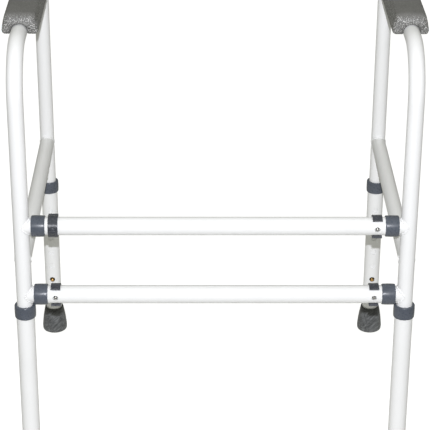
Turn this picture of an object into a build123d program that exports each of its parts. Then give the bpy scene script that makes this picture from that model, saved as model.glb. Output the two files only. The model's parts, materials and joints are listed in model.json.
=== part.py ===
"""Free-standing toilet support frame: two inverted-U side frames on telescopic legs, joined by two
telescopic cross rails that are locked by snap clips.

Millimetres, +Z up.  The origin is on the floor, midway between the four feet.  The cross rails
are at the rear (-Y), the front (+Y) is open, and left is -X.
"""
from build123d import *
from math import cos, radians, sin
import os

os.makedirs("parts", exist_ok=True)

# Stance, to the tube centre lines
half_width = 265.0
half_depth = 209.0
arm_tube_z = 643.0
bend_radius = 65.0
side_rail_z = 342.0
rail_levels = {"upper": 395.0, "lower": 289.5}

# Tubes
inner_tube_radius = 11.1
inner_tube_bore = 9.5
outer_tube_radius = 12.7
outer_tube_bore = 11.45
slide_bore = 11.4  # lip of a collar, which guides the inner tube
weld_gap = 0.03  # between a coped tube end and the upright it is welded to

# Height adjustment
hole_pitch = 25.4
height_hole_count = 6
button_z = 98.0
upright_end_z = 70.0
leg_hole_radius = 4.3
leg_hole_edge = 0.35
leg_collar_top_z = 273.7
leg_collar_radius = 15.0

# Width adjustment
width_hole_pitch = 12.7
width_hole_count = 7
pin_x = 221.0
pin_radius = 2.5
pin_hole_radius = 3.6
stub_inner_end_x = 128.0
rail_collar_outer_x = 251.0
rail_collar_radius = 14.8

# End collars of the outer tubes
collar_length = 18.9
collar_barrel = 0.35  # how much slimmer a collar is at its two ends than at mid-length
collar_lip = 2.0
collar_edge = 1.3

# Locking clips
clip_width = 13.6
clip_edge = 0.5
band_inner_radius = 13.1
band_outer_radius = 15.5
band_half_gap = 50.0  # degrees each side of the mouth
lip_radius = 1.8  # of the bead along each free end of the band
lip_centre_radius = 15.4
lip_angle = 54.0  # degrees from the mouth's middle
lip_round = 0.8
boss_radius = 5.2
boss_root_reach = 13.7
boss_reach = 17.7
boss_edge = 2.2
pin_seat_reach = 16.8
pin_tip_reach = 12.4
pin_nose = 1.8
thumb_tab_width = 9.6
thumb_tab_thickness = 3.2
thumb_tab_reach = 19.2
thumb_tab_edge = 0.7

# Spring buttons
button_hole_radius = 4.2
button_neck_radius = 3.6
button_tip_reach = 14.9
button_tip_round = 3.1
button_flange_radius = 5.2
button_flange_inner = 6.5
button_flange_outer = 7.7
spring_width = 8.0
spring_thickness = 0.8
spring_rise = 34.0
spring_back_reach = 7.9
spring_bend_radius = 2.0

# Feet
ferrule_height = 43.0
ferrule_base_radius = 20.2
ferrule_top_radius = 14.9
ferrule_skirt_z = 7.0
ferrule_bulge = 0.7  # how far the wall bows out from a straight cone
ferrule_floor = 5.0
ferrule_edge = 3.0
washer_thickness = 1.5
washer_radius = 12.4
socket_radius = 12.75
tread_depth = 1.4

# Armrests
pad_x = 263.5
pad_width = 49.9
pad_length = 250.0
pad_height = 27.4
pad_wrap = 1.0  # how far the pad reaches below the centre line of the arm tube
pad_corner = 4.0
pad_top_round = 3.6
pad_lower_round = 1.2
groove_radius = 11.3
insert_length = 190.0
insert_width = 18.0
insert_thickness = 3.0
insert_clearance = 0.2
screw_y = 78.0
screw_radius = 2.5
screw_hole_radius = 2.7
screw_head_radius = 4.7
screw_head_height = 2.8
screw_end_clearance = 2.5

sides = {"left": -1, "right": 1}
ends = {"rear": -1, "front": 1}
leg_tube_bottom_z = ferrule_floor + washer_thickness
leg_tube_top_z = leg_collar_top_z - collar_lip
rail_end_x = rail_collar_outer_x - collar_lip
insert_bottom_z = arm_tube_z + inner_tube_radius + insert_clearance


def save(piece, label):
    """Name a finished piece and write it to its own file."""
    piece.part.label = label
    export_step(piece.part, f"parts/{label}.step")


def side_plane(side):
    """Vertical plane through one side frame: local x is +Y, local y is +Z."""
    return Plane(origin=(side * half_width, 0, 0), x_dir=(0, 1, 0), z_dir=(1, 0, 0))


def ring(outer_radius, inner_radius):
    """Section of a tube, drawn in the active sketch."""
    Circle(outer_radius)
    Circle(inner_radius, mode=Mode.SUBTRACT)


def cross_rail(level):
    """Outer tube of one cross rail, drilled front to back for a clip pin near each end."""
    rail_z = rail_levels[level]
    with BuildPart() as rail:
        with BuildSketch(Plane(origin=(-rail_end_x, -half_depth, rail_z), x_dir=(0, 0, 1), z_dir=(1, 0, 0))):
            ring(outer_tube_radius, outer_tube_bore)
        extrude(amount=2 * rail_end_x)
        with BuildSketch(Plane(origin=(0, -half_depth, rail_z), x_dir=(1, 0, 0), z_dir=(0, -1, 0))):
            with Locations((-pin_x, 0), (pin_x, 0)):
                Circle(pin_hole_radius)
        extrude(amount=2 * outer_tube_radius, both=True, mode=Mode.SUBTRACT)
    save(rail, f"rail_{level}")


def end_collar(mouth, radius, label):
    """Plastic end collar of an outer tube: slightly barrel-shaped, with a lip that guides the inner tube.

    mouth is the plane of its half section: the origin is on the axis at the lipped end, local x is the
    radius and local y points out of the tube.
    """
    rim_radius = radius - collar_barrel
    with BuildPart() as collar:
        with BuildSketch(mouth) as half_section:
            with BuildLine():
                Polyline(
                    (rim_radius, -collar_length),
                    (outer_tube_radius, -collar_length),
                    (outer_tube_radius, -collar_lip),
                    (slide_bore, -collar_lip),
                    (slide_bore, 0),
                    (rim_radius, 0),
                )
                ThreePointArc((rim_radius, 0), (radius, -collar_length / 2), (rim_radius, -collar_length))
            make_face()
            fillet(half_section.vertices().group_by(Axis.X)[-1], collar_edge)
        revolve(axis=Axis(mouth.origin, mouth.y_dir))
    save(collar, label)


def rail_collar(level, side_name):
    """End collar of a cross rail, which guides the stub."""
    side = sides[side_name]
    origin = (side * rail_collar_outer_x, -half_depth, rail_levels[level])
    mouth = Plane(origin=origin, x_dir=(0, 0, 1), z_dir=(0, side, 0))
    end_collar(mouth, rail_collar_radius, f"rail_collar_{level}_{side_name}")


def clip(level, side_name, back):
    """Snap clip: a C-shaped plastic band with beaded free ends, and the steel pin moulded into its back.

    back is +1 where the clip is pushed on from the front and -1 where it is pushed on from the rear.
    """
    centre = (sides[side_name] * pin_x, -half_depth, rail_levels[level])
    section = Plane(origin=centre, x_dir=(0, back, 0), z_dir=(back, 0, 0))
    outward = Plane(origin=centre, x_dir=(-back, 0, 0), z_dir=(0, back, 0))
    mouth_reach = 2 * band_outer_radius
    mouth_x = -mouth_reach * cos(radians(band_half_gap))
    mouth_y = mouth_reach * sin(radians(band_half_gap))
    lip_x = -lip_centre_radius * cos(radians(lip_angle))
    lip_y = lip_centre_radius * sin(radians(lip_angle))
    with BuildPart() as band:
        with BuildSketch(section) as c_section:
            ring(band_outer_radius, band_inner_radius)
            with Locations((lip_x, lip_y), (lip_x, -lip_y)):
                Circle(lip_radius)
            with BuildLine():
                Polyline((0, 0), (mouth_x, mouth_y), (mouth_x, -mouth_y), close=True)
            make_face(mode=Mode.SUBTRACT)
            fillet(c_section.vertices(), lip_round)
        extrude(amount=clip_width / 2, both=True)
        fillet(band.faces().filter_by(Axis.X).edges(), clip_edge)
        with BuildSketch(outward.offset(boss_root_reach)):
            Circle(boss_radius)
        extrude(amount=boss_reach - boss_root_reach)
        fillet(band.faces().sort_by(Axis(centre, (0, back, 0)))[-1].edges(), boss_edge)
        with BuildSketch(outward.offset(boss_root_reach)):
            RectangleRounded(thumb_tab_width, thumb_tab_thickness, thumb_tab_edge)
        extrude(amount=thumb_tab_reach - boss_root_reach)
        fillet(band.faces().sort_by(Axis(centre, (0, back, 0)))[-1].edges(), thumb_tab_edge)
        with BuildSketch(outward):
            Circle(pin_radius)
        extrude(amount=pin_seat_reach, mode=Mode.SUBTRACT)
    save(band, f"clip_band_{level}_{side_name}")

    with BuildPart() as pin:
        with BuildSketch(outward.offset(-pin_tip_reach)):
            Circle(pin_radius)
        extrude(amount=pin_tip_reach + pin_seat_reach)
        fillet(pin.edges().filter_by(GeomType.CIRCLE).sort_by(Axis(centre, (0, back, 0)))[0], pin_nose)
    save(pin, f"clip_pin_{level}_{side_name}")


def side_tube(side_name):
    """Inverted-U tube of one side frame: two uprights and the arm tube between them."""
    side = sides[side_name]
    with BuildPart() as tube:
        with BuildLine(side_plane(side)):
            centre_line = FilletPolyline(
                (-half_depth, upright_end_z),
                (-half_depth, arm_tube_z),
                (half_depth, arm_tube_z),
                (half_depth, upright_end_z),
                radius=bend_radius,
            )
        with BuildSketch(Plane(origin=centre_line @ 0, z_dir=centre_line % 0)):
            ring(inner_tube_radius, inner_tube_bore)
        sweep()
        for end in ends.values():
            axis_point = (side * half_width, end * half_depth, button_z)
            with BuildSketch(Plane(origin=axis_point, z_dir=(0, -end, 0))):
                Circle(button_hole_radius)
            extrude(amount=2 * inner_tube_radius, mode=Mode.SUBTRACT)
        with BuildSketch(Plane.XY.offset(arm_tube_z)):
            with Locations((side * half_width, -screw_y), (side * half_width, screw_y)):
                Circle(screw_hole_radius)
        extrude(amount=2 * inner_tube_radius, both=True, mode=Mode.SUBTRACT)
    save(tube, f"side_tube_{side_name}")


def side_rail(side_name):
    """Horizontal tube welded between the two uprights of a side frame."""
    side = sides[side_name]
    with BuildPart() as rail:
        with BuildSketch(Plane(origin=(side * half_width, 0, side_rail_z), x_dir=(0, 0, 1), z_dir=(0, 1, 0))):
            ring(inner_tube_radius, inner_tube_bore)
        extrude(amount=half_depth, both=True)
        for end in ends.values():
            with Locations((side * half_width, end * half_depth, side_rail_z)):
                Cylinder(inner_tube_radius + weld_gap, 4 * inner_tube_radius, mode=Mode.SUBTRACT)
    save(rail, f"side_rail_{side_name}")


def stub(level, side_name):
    """Stub tube welded to the rear upright, which slides inside the end of a cross rail."""
    side = sides[side_name]
    root = (side * half_width, -half_depth, rail_levels[level])
    first_hole = half_width - pin_x
    with BuildPart() as tube:
        with BuildSketch(Plane(origin=root, x_dir=(0, 0, 1), z_dir=(-side, 0, 0))):
            ring(inner_tube_radius, inner_tube_bore)
        extrude(amount=half_width - stub_inner_end_x)
        with Locations(root):
            Cylinder(inner_tube_radius + weld_gap, 4 * inner_tube_radius, mode=Mode.SUBTRACT)
        with BuildSketch(Plane(origin=root, x_dir=(-side, 0, 0), z_dir=(0, -1, 0))):
            with Locations(*[(first_hole + step * width_hole_pitch, 0) for step in range(width_hole_count)]):
                Circle(pin_hole_radius)
        extrude(amount=2 * inner_tube_radius, both=True, mode=Mode.SUBTRACT)
    save(tube, f"stub_{level}_{side_name}")


def armrest(side_name):
    """Moulded armrest pad, the steel bar inside it, and the screws that hold it to the arm tube."""
    side = sides[side_name]
    tube_x = side * half_width
    screws_xy = [(tube_x, -screw_y), (tube_x, screw_y)]
    insert_top_z = insert_bottom_z + insert_thickness
    with BuildPart() as pad:
        with BuildSketch(Plane.XY.offset(arm_tube_z - pad_wrap)):
            with Locations((side * pad_x, 0)):
                RectangleRounded(pad_width, pad_length, pad_corner)
        extrude(amount=pad_height)
        fillet(pad.faces().sort_by(Axis.Z)[-1].edges(), pad_top_round)
        fillet(pad.faces().sort_by(Axis.Z)[0].edges(), pad_lower_round)
        with BuildSketch(Plane(origin=(tube_x, 0, arm_tube_z), z_dir=(0, 1, 0))):
            Circle(groove_radius)
        extrude(amount=pad_length, both=True, mode=Mode.SUBTRACT)
        with BuildSketch(Plane.XY.offset(arm_tube_z)):
            with Locations((tube_x, 0)):
                RectangleRounded(
                    insert_width + 2 * insert_clearance, insert_length + 2 * insert_clearance, 2.5
                )
        extrude(amount=insert_top_z + insert_clearance - arm_tube_z, mode=Mode.SUBTRACT)
        with BuildSketch(Plane.XY.offset(insert_top_z)):
            with Locations(*screws_xy):
                Circle(screw_hole_radius)
        extrude(amount=screw_end_clearance, mode=Mode.SUBTRACT)
    save(pad, f"armrest_pad_{side_name}")

    with BuildPart() as insert:
        with BuildSketch(Plane.XY.offset(insert_bottom_z)):
            with Locations((tube_x, 0)):
                RectangleRounded(insert_width, insert_length, 2.5)
            with Locations(*screws_xy):
                Circle(screw_radius, mode=Mode.SUBTRACT)
        extrude(amount=insert_thickness)
    save(insert, f"armrest_insert_{side_name}")

    with BuildPart() as screws:
        head_z = arm_tube_z - inner_tube_radius - screw_head_height
        with BuildSketch(Plane.XY.offset(head_z)):
            with Locations(*screws_xy):
                Circle(screw_head_radius)
        extrude(amount=screw_head_height)
        fillet(screws.faces().group_by(Axis.Z)[0].edges(), 1.2)
        with BuildSketch(Plane.XY.offset(head_z + screw_head_height)):
            with Locations(*screws_xy):
                Circle(screw_radius)
        extrude(amount=insert_top_z + 1.5 - head_z - screw_head_height)
        with BuildSketch(Plane.XY.offset(head_z)):
            with Locations(*screws_xy):
                RegularPolygon(1.75, 6)
        extrude(amount=1.6, mode=Mode.SUBTRACT)
    save(screws, f"armrest_screws_{side_name}")


def snap_button(end_name, side_name):
    """Brass spring button in the foot of an upright, facing the middle of the side frame."""
    side = sides[side_name]
    end = ends[end_name]
    centre = (side * half_width, end * half_depth, button_z)
    inward = Plane(origin=centre, z_dir=(0, -end, 0))
    with BuildPart() as button:
        with BuildSketch(inward.offset(button_flange_inner)):
            Circle(button_flange_radius)
        extrude(amount=button_flange_outer - button_flange_inner)
        with BuildSketch(inward.offset(button_flange_outer)):
            Circle(button_neck_radius)
        extrude(amount=button_tip_reach - button_flange_outer)
        fillet(button.faces().sort_by(Axis(centre, (0, -end, 0)))[-1].edges(), button_tip_round)
    save(button, f"snap_button_{end_name}_{side_name}")


def snap_spring(end_name, side_name):
    """V-shaped leaf spring inside the upright, behind the button."""
    end = ends[end_name]
    centre = (sides[side_name] * half_width, end * half_depth, button_z)
    arm_reach = button_flange_inner - spring_thickness / 2
    with BuildPart() as spring:
        with BuildSketch(Plane(origin=centre, x_dir=(0, -end, 0), z_dir=(-end, 0, 0))):
            with BuildLine() as leaf:
                FilletPolyline(
                    (arm_reach, -5),
                    (arm_reach, 5),
                    (-1, spring_rise),
                    (-spring_back_reach, -2),
                    radius=spring_bend_radius,
                )
            trace(leaf.edges(), line_width=spring_thickness)
        extrude(amount=spring_width / 2, both=True)
    save(spring, f"snap_spring_{end_name}_{side_name}")


def leg(end_name, side_name):
    """Leg extension: outer tube with its row of holes, top collar, ferrule and washer."""
    side = sides[side_name]
    end = ends[end_name]
    foot = (side * half_width, end * half_depth, 0)
    axis_plane = Plane(origin=foot, x_dir=(1, 0, 0), z_dir=(0, -1, 0))
    floor_plane = Plane(origin=foot, z_dir=(0, 0, 1))
    mouth = Plane(origin=(foot[0], foot[1], leg_collar_top_z), x_dir=(1, 0, 0), z_dir=(0, -1, 0))
    with BuildPart() as tube:
        with BuildSketch(floor_plane.offset(leg_tube_bottom_z)):
            ring(outer_tube_radius, outer_tube_bore)
        extrude(amount=leg_tube_top_z - leg_tube_bottom_z)
        with BuildSketch(axis_plane):
            with Locations(*[(0, button_z + step * hole_pitch) for step in range(height_hole_count)]):
                Circle(leg_hole_radius)
        extrude(amount=end * 2 * outer_tube_radius, mode=Mode.SUBTRACT)
        curved_edges = tube.edges().filter_by(GeomType.LINE, reverse=True)
        hole_edges = curved_edges.filter_by(GeomType.CIRCLE, reverse=True)
        outer_hole_edges = hole_edges.sort_by(Axis(foot, (0, -end, 0)))[-height_hole_count:]
        chamfer(outer_hole_edges, leg_hole_edge)
    save(tube, f"leg_tube_{end_name}_{side_name}")

    end_collar(mouth, leg_collar_radius, f"leg_collar_{end_name}_{side_name}")

    skirt = (ferrule_base_radius, ferrule_skirt_z)
    rim = (ferrule_top_radius, ferrule_height)
    wall_middle = ((skirt[0] + rim[0]) / 2 + ferrule_bulge, (skirt[1] + rim[1]) / 2)
    with BuildPart() as ferrule:
        with BuildSketch(axis_plane):
            with BuildLine():
                ThreePointArc(skirt, wall_middle, rim)
                Polyline(
                    rim,
                    (socket_radius, ferrule_height),
                    (socket_radius, ferrule_floor),
                    (0, ferrule_floor),
                    (0, 0),
                    (ferrule_base_radius - 0.5, 0),
                    skirt,
                )
            make_face()
        revolve(axis=Axis(foot, (0, 0, 1)))
        fillet(ferrule.faces().sort_by(Axis.Z)[0].edges(), ferrule_edge)
        fillet(ferrule.faces().sort_by(Axis.Z)[-1].edges(), 1.0)
        with BuildSketch(floor_plane):
            for inner, outer in ((10.0, 12.0), (5.0, 7.0)):
                Circle(outer)
                Circle(inner, mode=Mode.SUBTRACT)
        extrude(amount=tread_depth, mode=Mode.SUBTRACT)
    save(ferrule, f"ferrule_{end_name}_{side_name}")

    with BuildPart() as washer:
        with BuildSketch(floor_plane.offset(ferrule_floor)):
            Circle(washer_radius)
        extrude(amount=washer_thickness)
    save(washer, f"ferrule_washer_{end_name}_{side_name}")


for level_name in rail_levels:
    cross_rail(level_name)
    for side_label in sides:
        rail_collar(level_name, side_label)
        clip(level_name, side_label, back=-1 if (level_name, side_label) == ("upper", "left") else 1)
        stub(level_name, side_label)

for side_label in sides:
    side_tube(side_label)
    side_rail(side_label)
    armrest(side_label)
    for end_label in ends:
        leg(end_label, side_label)
        snap_button(end_label, side_label)
        snap_spring(end_label, side_label)
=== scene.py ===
"""Looks of a toilet support frame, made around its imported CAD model. Units are metres and Z is up."""

import json
from math import asin, cos, degrees, hypot, pi, radians, sin, sqrt

import bpy
from mathutils import Matrix, Vector


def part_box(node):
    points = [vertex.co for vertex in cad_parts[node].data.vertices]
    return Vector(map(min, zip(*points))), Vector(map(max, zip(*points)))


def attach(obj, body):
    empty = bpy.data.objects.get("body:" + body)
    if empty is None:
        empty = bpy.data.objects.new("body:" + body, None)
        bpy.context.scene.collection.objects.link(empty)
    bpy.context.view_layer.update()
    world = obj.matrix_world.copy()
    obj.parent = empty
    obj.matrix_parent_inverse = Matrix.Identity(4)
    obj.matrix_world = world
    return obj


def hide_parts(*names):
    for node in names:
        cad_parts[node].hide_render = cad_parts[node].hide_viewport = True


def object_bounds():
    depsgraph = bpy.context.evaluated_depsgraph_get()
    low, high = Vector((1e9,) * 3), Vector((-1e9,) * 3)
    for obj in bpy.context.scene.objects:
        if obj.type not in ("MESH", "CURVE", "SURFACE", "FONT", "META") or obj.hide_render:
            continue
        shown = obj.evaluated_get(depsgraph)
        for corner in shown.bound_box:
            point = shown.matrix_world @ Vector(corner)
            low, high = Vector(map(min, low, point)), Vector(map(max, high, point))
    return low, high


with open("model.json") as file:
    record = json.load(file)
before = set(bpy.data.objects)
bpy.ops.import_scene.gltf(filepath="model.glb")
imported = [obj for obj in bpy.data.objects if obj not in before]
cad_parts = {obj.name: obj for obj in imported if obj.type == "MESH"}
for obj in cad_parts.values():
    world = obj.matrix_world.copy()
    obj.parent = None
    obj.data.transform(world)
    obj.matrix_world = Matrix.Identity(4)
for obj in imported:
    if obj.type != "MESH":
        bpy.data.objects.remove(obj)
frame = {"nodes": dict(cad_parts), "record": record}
cad_low, cad_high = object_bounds()

SIDES = ("left", "right")
LEVELS = ("upper", "lower")
MM = 0.001
SKIN_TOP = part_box("armrest_pad_left")[1].z
LEG_TRAVEL = 127 * MM


# ---------------------------------------------------------------- materials


class Finish:
    """A Principled material whose detail comes from textures in object space, where one unit is a metre."""

    def __init__(self, name, metallic=0.0, specular=0.5):
        self.material = bpy.data.materials.new(name)
        self.material.use_nodes = True
        tree = self.material.node_tree
        self.nodes, self.links = tree.nodes, tree.links
        self.shader = self.nodes["Principled BSDF"]
        self.shader.inputs["Metallic"].default_value = metallic
        self.shader.inputs["Specular IOR Level"].default_value = specular
        coordinates = self.nodes.new("ShaderNodeTexCoord").outputs
        self.place, self.share = coordinates["Object"], coordinates["Generated"]
        self.normal = None

    def stretched(self, stretch, rotation=(0, 0, 0)):
        """Object coordinates that draw a pattern out along each axis, after turning those axes."""
        turn = self.nodes.new("ShaderNodeMapping")
        turn.vector_type = "TEXTURE"
        turn.inputs["Rotation"].default_value = [radians(angle) for angle in rotation]
        turn.inputs["Scale"].default_value = stretch
        self.links.new(self.place, turn.inputs["Vector"])
        return turn.outputs["Vector"]

    def height(self, place=None):
        """The Z of the object's own coordinates, or of others."""
        split = self.nodes.new("ShaderNodeSeparateXYZ")
        self.links.new(place or self.place, split.inputs["Vector"])
        return split.outputs["Z"]

    def from_middle(self):
        """Distance from the Y axis through the middle of the object's box, as a share of that box."""
        flat = self.nodes.new("ShaderNodeVectorMath")
        flat.operation = "MULTIPLY"
        flat.inputs[1].default_value = (1, 0, 1)
        gap = self.nodes.new("ShaderNodeVectorMath")
        gap.operation = "DISTANCE"
        gap.inputs[1].default_value = (0.5, 0, 0.5)
        self.links.new(self.share, flat.inputs[0])
        self.links.new(flat.outputs["Vector"], gap.inputs[0])
        return gap.outputs["Value"]

    def noise(self, scale, detail=3.0, distortion=0.0, place=None):
        """A cloudy factor from 0 to 1, with that many features to the metre."""
        texture = self.nodes.new("ShaderNodeTexNoise")
        texture.inputs["Scale"].default_value = scale
        texture.inputs["Detail"].default_value = detail
        texture.inputs["Distortion"].default_value = distortion
        self.links.new(place or self.place, texture.inputs["Vector"])
        return texture.outputs["Fac"]

    def cells(self, scale, feature="F1"):
        """The distance to the nearest cell's point, or to its edge."""
        texture = self.nodes.new("ShaderNodeTexVoronoi")
        texture.feature = feature
        texture.inputs["Scale"].default_value = scale
        self.links.new(self.place, texture.inputs["Vector"])
        return texture.outputs["Distance"]

    def ramp(self, factor, *stops):
        """A colour for each position, blended between them."""
        ramp = self.nodes.new("ShaderNodeValToRGB")
        elements = ramp.color_ramp.elements
        while len(elements) < len(stops):
            elements.new(0.5)
        for element, (position, color) in zip(elements, stops):
            element.position = position
            element.color = (*color, 1.0)
        self.links.new(factor, ramp.inputs["Fac"])
        return ramp.outputs["Color"]

    def between(self, factor, low, high, at=(0.3, 0.7)):
        """A number that follows the factor from low to high."""
        span = self.nodes.new("ShaderNodeMapRange")
        for name, value in zip(("From Min", "From Max", "To Min", "To Max"), (*at, low, high)):
            span.inputs[name].default_value = value
        self.links.new(factor, span.inputs["Value"])
        return span.outputs["Result"]

    def mixed(self, factor, first, second, blend="MIX"):
        """A colour that goes from the first to the second, or to their blend, with the factor."""
        mix = self.nodes.new("ShaderNodeMix")
        mix.data_type = "RGBA"
        mix.blend_type = blend
        sockets = [socket for socket in mix.inputs if socket.enabled]
        for socket, value in zip(sockets, (factor, first, second)):
            if isinstance(value, bpy.types.NodeSocket):
                self.links.new(value, socket)
            else:
                socket.default_value = value if isinstance(value, float) else (*value, 1.0)
        return next(socket for socket in mix.outputs if socket.enabled)

    def scaled(self, factor, amount, by=None):
        """A factor times a number, and times another factor."""
        for value in (amount, by):
            if value is not None:
                product = self.nodes.new("ShaderNodeMath")
                product.operation = "MULTIPLY"
                self.links.new(factor, product.inputs[0])
                if isinstance(value, bpy.types.NodeSocket):
                    self.links.new(value, product.inputs[1])
                else:
                    product.inputs[1].default_value = value
                factor = product.outputs["Value"]
        return factor

    def color(self, socket):
        self.links.new(socket, self.shader.inputs["Base Color"])

    def roughness(self, socket):
        self.links.new(socket, self.shader.inputs["Roughness"])

    def relief(self, height, depth, strength=None):
        """Adds bumps that are that deep, on top of the ones before."""
        bump = self.nodes.new("ShaderNodeBump")
        bump.inputs["Distance"].default_value = depth
        bump.inputs["Strength"].default_value = 1.0
        if strength:
            self.links.new(strength, bump.inputs["Strength"])
        self.links.new(height, bump.inputs["Height"])
        if self.normal:
            self.links.new(self.normal, bump.inputs["Normal"])
        self.normal = bump.outputs["Normal"]
        self.links.new(self.normal, self.shader.inputs["Normal"])


def powder_coat():
    """White powder coat: a faint orange peel, a little uneven in gloss, with light handling marks."""
    coat = Finish("white_powder_coat", specular=0.35)
    cloudy = coat.noise(18, detail=2)
    white = coat.ramp(cloudy, (0.3, (0.835, 0.84, 0.84)), (0.7, (0.855, 0.86, 0.862)))
    rubbed = coat.noise(240, detail=6, place=coat.stretched((1, 1, 8)))
    marks = coat.ramp(rubbed, (0.7, (0, 0, 0)), (0.8, (0.1, 0.1, 0.1)))
    coat.color(coat.mixed(marks, white, (0.7, 0.695, 0.67)))
    coat.roughness(coat.between(coat.noise(60, detail=4), 0.42, 0.52))
    coat.relief(coat.noise(520, detail=2), 0.012 * MM)
    return coat.material


def collar_plastic():
    """Satin blue-grey moulding with a fine spark-eroded texture."""
    plastic = Finish("collar_plastic", specular=0.45)
    flow = plastic.noise(70, detail=4, distortion=0.6)
    plastic.color(plastic.ramp(flow, (0.3, (0.074, 0.085, 0.106)), (0.7, (0.092, 0.104, 0.129))))
    plastic.roughness(plastic.between(plastic.noise(300), 0.24, 0.34))
    plastic.relief(plastic.noise(2200, detail=2), 0.012 * MM)
    return plastic.material


def clip_plastic():
    """Darker and glossier moulding of the snap clips."""
    plastic = Finish("clip_plastic")
    flow = plastic.noise(120, detail=4, distortion=0.8)
    plastic.color(plastic.ramp(flow, (0.3, (0.04, 0.044, 0.053)), (0.7, (0.058, 0.062, 0.074))))
    plastic.roughness(plastic.between(plastic.noise(260), 0.2, 0.32))
    plastic.relief(plastic.noise(900, detail=3), 0.01 * MM)
    return plastic.material


def armrest_skin():
    """Grey integral-skin foam: a leather grain that glints, with painted glints on pale pebble tips and
    painted shade in its creases, rubbed flat and matt on top by forearms, where less of both is painted.
    """
    skin = Finish("armrest_skin", specular=0.5)
    # Towards the top, the skin loses its grain, gloss and relief, and also its painted glints and painted
    # crease shade.
    unworn_and_painted_light = skin.between(skin.height(), 1.0, 0.12, at=(SKIN_TOP - 8 * MM, SKIN_TOP - 1 * MM))
    cloudy = skin.noise(45, detail=4)
    grey = skin.ramp(cloudy, (0.3, (0.138, 0.138, 0.132)), (0.7, (0.158, 0.157, 0.15)))
    pebbles = skin.cells(560, feature="DISTANCE_TO_EDGE")
    # Painted shade: the creases between the pebbles are darkened, less so on the top.
    painted_crease_shade = skin.ramp(pebbles, (0.0, (0.45, 0.45, 0.45)), (0.14, (1.0, 1.0, 1.0)))
    grey_with_crease_shade = skin.mixed(skin.scaled(unworn_and_painted_light, 0.9), grey, skin.mixed(1.0, grey, painted_crease_shade, blend="MULTIPLY"))
    # Painted glints: pale specks on the sides and ends, and fewer on the top.
    painted_glints = skin.ramp(skin.noise(760, detail=3), (0.54, (0, 0, 0)), (0.6, (1, 1, 1)))
    skin.color(skin.mixed(skin.scaled(painted_glints, 0.9, unworn_and_painted_light), grey_with_crease_shade, (0.58, 0.58, 0.56)))
    gloss = skin.ramp(skin.noise(500, detail=3), (0.3, (0.34, 0.34, 0.34)), (0.7, (0.55, 0.55, 0.55)))
    skin.roughness(skin.mixed(unworn_and_painted_light, (0.62, 0.62, 0.62), gloss))
    skin.relief(skin.noise(480, detail=4), 0.6 * MM, strength=unworn_and_painted_light)
    skin.relief(pebbles, 0.35 * MM, strength=unworn_and_painted_light)
    return skin.material


def ferrule_rubber():
    """Moulded grey rubber with fine slanting flow marks and cloudy patches, and painted shade darkening it
    round its mouth.
    """
    rubber = Finish("ferrule_rubber", specular=0.5)
    slanting = rubber.stretched((1, 1, 9), rotation=(0, 55, 20))
    streaks = rubber.noise(420, detail=5, distortion=0.7, place=slanting)
    clouds = rubber.noise(75, detail=4, distortion=1.0)
    grey = rubber.ramp(clouds, (0.32, (0.083, 0.087, 0.09)), (0.68, (0.12, 0.125, 0.129)))
    dark, plain, pale = (0.58, 0.58, 0.58), (0.95, 0.95, 0.95), (1.65, 1.65, 1.65)
    lines = rubber.ramp(streaks, (0.36, dark), (0.5, plain), (0.66, pale))
    marked = rubber.mixed(1.0, grey, lines, blend="MULTIPLY")
    # Painted shade: near the top of the ferrule, where the rail's shadow falls, the rubber is darkened in
    # speckles.
    shaded_mouth_share = rubber.between(rubber.height(rubber.share), 0.0, 1.0, at=(0.7, 0.95))
    painted_mouth_shade = rubber.ramp(rubber.noise(650, detail=4), (0.35, (0.14, 0.14, 0.13)), (0.65, (0.6, 0.6, 0.57)))
    rubber.color(rubber.mixed(shaded_mouth_share, marked, rubber.mixed(1.0, marked, painted_mouth_shade, blend="MULTIPLY")))
    rubber.roughness(rubber.between(streaks, 0.34, 0.5))
    rubber.relief(streaks, 0.06 * MM)
    rubber.relief(rubber.noise(900, detail=3), 0.02 * MM)
    return rubber.material


def button_brass():
    """Turned brass, patchy in tone and bright on the crown, with painted shade that turns it dark brown
    round the side.
    """
    brass = Finish("button_brass", metallic=1.0)
    patches = brass.noise(420, detail=5, distortion=0.4)
    worn = brass.ramp(patches, (0.35, (0.62, 0.36, 0.12)), (0.62, (0.85, 0.55, 0.22)))
    # Painted shade: the brass darkens to brown towards the side of the button.
    painted_shade_rim = brass.ramp(brass.from_middle(), (0.13, (0, 0, 0)), (0.3, (1, 1, 1)))
    brass.color(brass.mixed(painted_shade_rim, worn, (0.11, 0.06, 0.02)))
    brass.roughness(brass.between(patches, 0.34, 0.22))
    brass.relief(brass.noise(1600, detail=2), 0.008 * MM)
    return brass.material


def zinc_steel():
    """Zinc-plated steel: dull grey with faint spangles and drawing lines."""
    steel = Finish("zinc_steel", metallic=1.0)
    spangle = steel.cells(340)
    steel.color(steel.ramp(spangle, (0.1, (0.40, 0.395, 0.38)), (0.8, (0.56, 0.55, 0.53))))
    steel.roughness(steel.between(steel.noise(500, detail=4, place=steel.stretched((1, 10, 1))), 0.3, 0.46))
    steel.relief(steel.noise(1400, detail=3), 0.006 * MM)
    return steel.material


def pale_floor():
    """A white studio sweep with its own glow, so that it renders white all round."""
    floor = Finish("pale_floor", specular=0.1)
    floor.color(floor.ramp(floor.noise(1.5), (0.3, (0.42, 0.42, 0.42)), (0.7, (0.45, 0.45, 0.45))))
    floor.shader.inputs["Roughness"].default_value = 0.8
    floor.shader.inputs["Emission Color"].default_value = (1, 1, 1, 1)
    floor.shader.inputs["Emission Strength"].default_value = 0.84
    return floor.material


FINISHES = {
    "white_tube": powder_coat(),
    "collar_plastic": collar_plastic(),
    "clip_plastic": clip_plastic(),
    "armrest_foam": armrest_skin(),
    "ferrule_rubber": ferrule_rubber(),
    "button_brass": button_brass(),
    "plain_steel": zinc_steel(),
}


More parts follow.
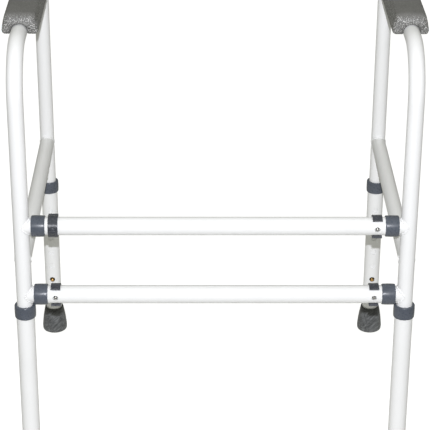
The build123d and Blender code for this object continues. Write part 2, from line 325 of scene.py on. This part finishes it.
def paint_frame():
    """Gives every CAD node the finish of its material slot."""
    for part in frame["record"]["subparts"]:
        node = frame["nodes"][part["node"]]
        for slot in node.material_slots:
            slot.material = FINISHES[part["material_slot"]]


# ---------------------------------------------------------------- pieces


def ring_faces(rows, count, loop=False):
    """Quads that join neighbouring rings of that many points. With loop, the last ring joins the first."""
    faces = []
    for row in range(rows if loop else rows - 1):
        here, there = row * count, (row + 1) % rows * count
        for i in range(count):
            j = (i + 1) % count
            faces.append((here + i, here + j, there + j, there + i))
    return faces


def closed_mesh(name, rings, body, slot, caps=(), loop=False):
    """A smooth closed skin over rings of the same number of points, riding on a body.

    The caps are more faces, as indices into all the points."""
    points = [point for ring in rings for point in ring]
    faces = ring_faces(len(rings), len(rings[0]), loop)
    faces += caps
    mesh = bpy.data.meshes.new(name)
    mesh.from_pydata(points, [], faces)
    mesh.validate()
    mesh.shade_smooth()
    mesh.materials.append(FINISHES[slot])
    piece = bpy.data.objects.new(name, mesh)
    bpy.context.scene.collection.objects.link(piece)
    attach(piece, body)
    return piece


def arc(centre, radii, start, end, steps):
    """Points on an ellipse from one angle to another, in degrees."""
    angles = [radians(start + (end - start) * i / steps) for i in range(steps + 1)]
    return [(centre[0] + radii[0] * cos(a), centre[1] + radii[1] * sin(a)) for a in angles]


def run(first, last, steps):
    """Points strictly between two points."""
    return [tuple(a + (b - a) * i / steps for a, b in zip(first, last)) for i in range(1, steps)]


def armrest(side):
    """The moulded armrest: crowned top, round ends, a half-round channel for the tube and a mould line."""
    low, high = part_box(f"armrest_pad_{side}")
    tube_low, tube_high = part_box(f"side_tube_{side}")
    middle = (low.x + high.x) / 2
    tube_radius = (tube_high.x - tube_low.x) / 2
    channel_x, channel_z = tube_low.x + tube_radius, tube_high.z - tube_radius
    channel_clearance = 0.2 * MM
    channel_radius = tube_radius + channel_clearance
    half_width, height = (high.x - low.x) / 2, high.z - low.z
    end_reach, end_drop, corner = 12 * MM, 12 * MM, 6 * MM
    foot, shoulder, crown, bulge = 3 * MM, 7 * MM, 0.9 * MM, 0.5 * MM
    line_height, line_half_width, line_rise = 4.2 * MM, 0.6 * MM, 0.35 * MM
    mouth_flare, mouth_depth = 1.9 * MM, 3 * MM
    foot_share = 0.3  # how much of a corner's inset reaches the foot
    end_steps, straight_steps, across_steps = 9, 14, 14

    def flank(edge, inset, drop, inner):
        """Points (out from the middle, z): from the channel's edge along the foot and up over the shoulder.

        The side towards the user leans in more, and is rounder at its top corners."""
        draft, curve = (3.4 * MM, 1.6) if inner else (2.6 * MM, 1.0)
        widest = half_width - line_rise
        base_x, side_x = widest - foot_share * inset, widest - draft - curve * inset
        top = low.z + height - drop - crown
        points = [(edge, low.z)] + run((edge, low.z), (base_x - foot, low.z), 3)
        points += arc((base_x - foot, low.z + foot), (foot, foot), -90, 0, 4)
        for rise, out in ((-line_half_width, 0.0), (0.0, line_rise), (line_half_width, 0.0)):
            points.append((base_x + out, low.z + line_height + rise))
        for x, z in run((base_x, low.z + line_height + MM), (side_x, top - shoulder), 5):
            points.append((x + bulge * sin(pi * (z - low.z) / height), z))
        return points + arc((side_x - shoulder, top - shoulder), (shoulder, shoulder), 0, 90, 8)

    def section(inset, drop, flare):
        """One section: round the outside from right to left, then back through the channel."""
        reach = channel_radius + flare
        dip = asin((channel_z - low.z) / reach)
        edge = reach * cos(dip)
        right = flank(edge + channel_x - middle, inset, drop, side == "left")
        left = [(-x, z) for x, z in flank(edge - channel_x + middle, inset, drop, side == "right")]
        across = []
        for x, z in run(right[-1], left[-1], across_steps):
            across.append((x, z + crown * cos(pi * x / (right[-1][0] - left[-1][0]))))
        outer = right + across + left[::-1]
        turn = degrees(dip)
        bend = arc((channel_x - middle, channel_z), (reach, reach), 180 + turn, -turn, len(outer) + 1)[1:-1]
        return outer, bend

    half_length = (high.y - low.y) / 2
    stations = []
    for step in range(end_steps + 1):
        turn = radians(90 * step / end_steps)
        depth = end_reach * (1 - cos(turn))
        left_over = max(0.0, corner - depth)
        inset = corner - sqrt(corner ** 2 - left_over ** 2)
        flare = mouth_flare * max(0.0, 1 - depth / mouth_depth)
        stations.append((depth, inset, end_drop * (1 - sin(turn)), flare))
    for step in range(1, straight_steps + 1):
        stations.append((end_reach + (half_length - end_reach) * step / straight_steps, 0.0, 0.0, 0.0))
    near = [(-half_length + depth, *rest) for depth, *rest in stations]
    every = near + [(-y, *rest) for y, *rest in near[-2::-1]]

    rings = []
    for y, inset, drop, flare in every:
        outer, bend = section(inset, drop, flare)
        rings.append([(middle + x, (low.y + high.y) / 2 + y, z) for x, z in outer + bend])
    half_count, count = len(outer), len(rings[0])
    caps = []
    for first in (0, (len(rings) - 1) * count):
        for i in range(half_count - 1):
            face = (first + i, first + i + 1, first + count - 2 - i, first + count - 1 - i)
            caps.append(face if first else face[::-1])
    piece = closed_mesh(f"armrest_{side}", rings, f"side_frame_{side}", "armrest_foam", caps)
    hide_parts(f"armrest_pad_{side}")


def weld_bead(name, centre, outward, radius, body):
    """A weld where a level tube meets an upright of the same radius, laid as overlapping ripples."""
    steps, around = 96, 10
    seam_reach = 1.5 * MM
    sideways = Vector((0, 0, 1)).cross(outward)
    rings = []
    for step in range(steps):
        turn = 2 * pi * step / steps
        reach = hypot(radius * cos(turn), seam_reach)
        seam = centre + outward * reach + sideways * radius * sin(turn) + Vector((0, 0, radius * cos(turn)))
        open_side = (sideways * sin(turn) + Vector((0, 0, cos(turn)))).normalized()
        ripple = 1 + 0.1 * sin(16 * turn) + 0.05 * sin(37 * turn)
        size = (1.0 + 0.9 * abs(cos(turn))) * MM * ripple
        ring = []
        for point in range(around):
            angle = 2 * pi * point / around
            ring.append(seam + size * (outward * cos(angle) + open_side * sin(angle)))
        rings.append(ring)
    closed_mesh(name, rings, body, "white_tube", loop=True)


def weld_beads(side):
    """Beads at the two stub tubes and at both ends of the side rail."""
    body = f"side_frame_{side}"
    tube_low, tube_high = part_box(f"side_tube_{side}")
    radius = (tube_high.x - tube_low.x) / 2
    x = (tube_low.x + tube_high.x) / 2
    rear_y, front_y = tube_low.y + radius, tube_high.y - radius
    inward = Vector((-1 if x > 0 else 1, 0, 0))
    for level in LEVELS:
        low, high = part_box(f"stub_{level}_{side}")
        z = (low.z + high.z) / 2
        weld_bead(f"weld_stub_{level}_{side}", Vector((x, rear_y, z)), inward, radius, body)
    low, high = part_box(f"side_rail_{side}")
    z = (low.z + high.z) / 2
    for end, y, along in (("rear", rear_y, 1), ("front", front_y, -1)):
        weld_bead(f"weld_side_rail_{end}_{side}", Vector((x, y, z)), Vector((0, along, 0)), radius, body)


# ---------------------------------------------------------------- studio


CAMERA_PLACE = Vector((-0.022, -2.2841, 1.4083))
CAMERA_DOWN = 25.653
CAMERA_TURN = -0.597
CAMERA_ROLL = 0.27
CAMERA_LENS = 141.5
FLASH_ABOVE_LENS = 0.09
BOUNCE_BELOW_FEET = LEG_TRAVEL + 0.5 * MM
LIGHT_FROM_BELOW, LIGHT_FROM_SIDES, LIGHT_FROM_ABOVE = 0.33, 0.19, 0.58


def add_camera():
    """A long lens at standing height behind the frame, looking a little down on it."""
    data = bpy.data.cameras.new("camera")
    data.lens = CAMERA_LENS
    data.sensor_width = 36
    camera = bpy.data.objects.new("camera", data)
    bpy.context.scene.collection.objects.link(camera)
    turn = Matrix.Rotation(radians(CAMERA_TURN), 4, "Z")
    tilt = Matrix.Rotation(radians(90 - CAMERA_DOWN), 4, "X")
    roll = Matrix.Rotation(radians(CAMERA_ROLL), 4, "Z")
    camera.matrix_world = Matrix.Translation(CAMERA_PLACE) @ turn @ tilt @ roll
    bpy.context.scene.camera = camera


def add_light(name, place, target, size, power, color):
    """A round lamp that faces the target."""
    data = bpy.data.lights.new(name, "AREA")
    data.shape = "DISK"
    data.size = size
    data.energy = power
    data.color = color
    light = bpy.data.objects.new(name, data)
    bpy.context.scene.collection.objects.link(light)
    facing = (Vector(target) - Vector(place)).to_track_quat("-Z", "Y")
    light.matrix_world = Matrix.Translation(place) @ facing.to_matrix().to_4x4()


def add_world():
    """Soft warm light from all round: most from the ceiling, least from the sides."""
    world = bpy.data.worlds.new("studio")
    world.use_nodes = True
    bpy.context.scene.world = world
    nodes, links = world.node_tree.nodes, world.node_tree.links
    split = nodes.new("ShaderNodeSeparateXYZ")
    height = nodes.new("ShaderNodeMapRange")
    height.inputs["From Min"].default_value = -1
    ramp = nodes.new("ShaderNodeValToRGB")
    elements = ramp.color_ramp.elements
    elements.new(0.5)
    levels = (LIGHT_FROM_BELOW, LIGHT_FROM_SIDES, LIGHT_FROM_ABOVE)
    for element, position, level in zip(elements, (0.0, 0.5, 1.0), levels):
        element.position = position
        element.color = (level, level, level * 0.9, 1)
    links.new(nodes.new("ShaderNodeTexCoord").outputs["Generated"], split.inputs["Vector"])
    links.new(split.outputs["Z"], height.inputs["Value"])
    links.new(height.outputs["Result"], ramp.inputs["Fac"])
    links.new(ramp.outputs["Color"], nodes["Background"].inputs["Color"])


def add_sweep():
    """A white studio floor that curves up into a wall all round, low enough for the legs at their longest.

    Only the camera sees it: it casts no shadow, and light from below passes through it."""
    floor_reach, curve, wall, around = 14.0, 4.0, 16.0, 48
    profile = [(0.5, 0.0), (3.0, 0.0), (floor_reach, 0.0)]
    profile += arc((floor_reach, curve), (curve, curve), -90, 0, 8)[1:]
    profile.append((floor_reach + curve, wall))
    rings = []
    for reach, z in profile:
        turns = [2 * pi * i / around for i in range(around)]
        rings.append([(reach * cos(turn), reach * sin(turn), z) for turn in turns])
    points = [point for ring in rings for point in ring]
    faces = [tuple(range(around))] + ring_faces(len(rings), around)
    mesh = bpy.data.meshes.new("sweep")
    mesh.from_pydata(points, [], faces)
    mesh.materials.append(pale_floor())
    sweep = bpy.data.objects.new("sweep", mesh)
    sweep.location.z = cad_low.z - LEG_TRAVEL - MM
    bpy.context.scene.collection.objects.link(sweep)
    sweep.visible_diffuse = False
    sweep.visible_glossy = False
    sweep.visible_shadow = False


add_camera()
paint_frame()
for side in SIDES:
    armrest(side)
    weld_beads(side)
add_world()
add_sweep()
middle = (cad_low + cad_high) / 2
flash_place = CAMERA_PLACE + Vector((0, 0, FLASH_ABOVE_LENS))
add_light("flash", flash_place, middle, size=0.012, power=51.5, color=(0.985, 0.99, 1.045))
bounce_place = Vector((0, 0, -BOUNCE_BELOW_FEET))
add_light("floor_bounce", bounce_place, middle, size=1.8, power=2.6, color=(1.0, 0.99, 0.93))
bpy.context.scene.view_settings.view_transform = "Standard"
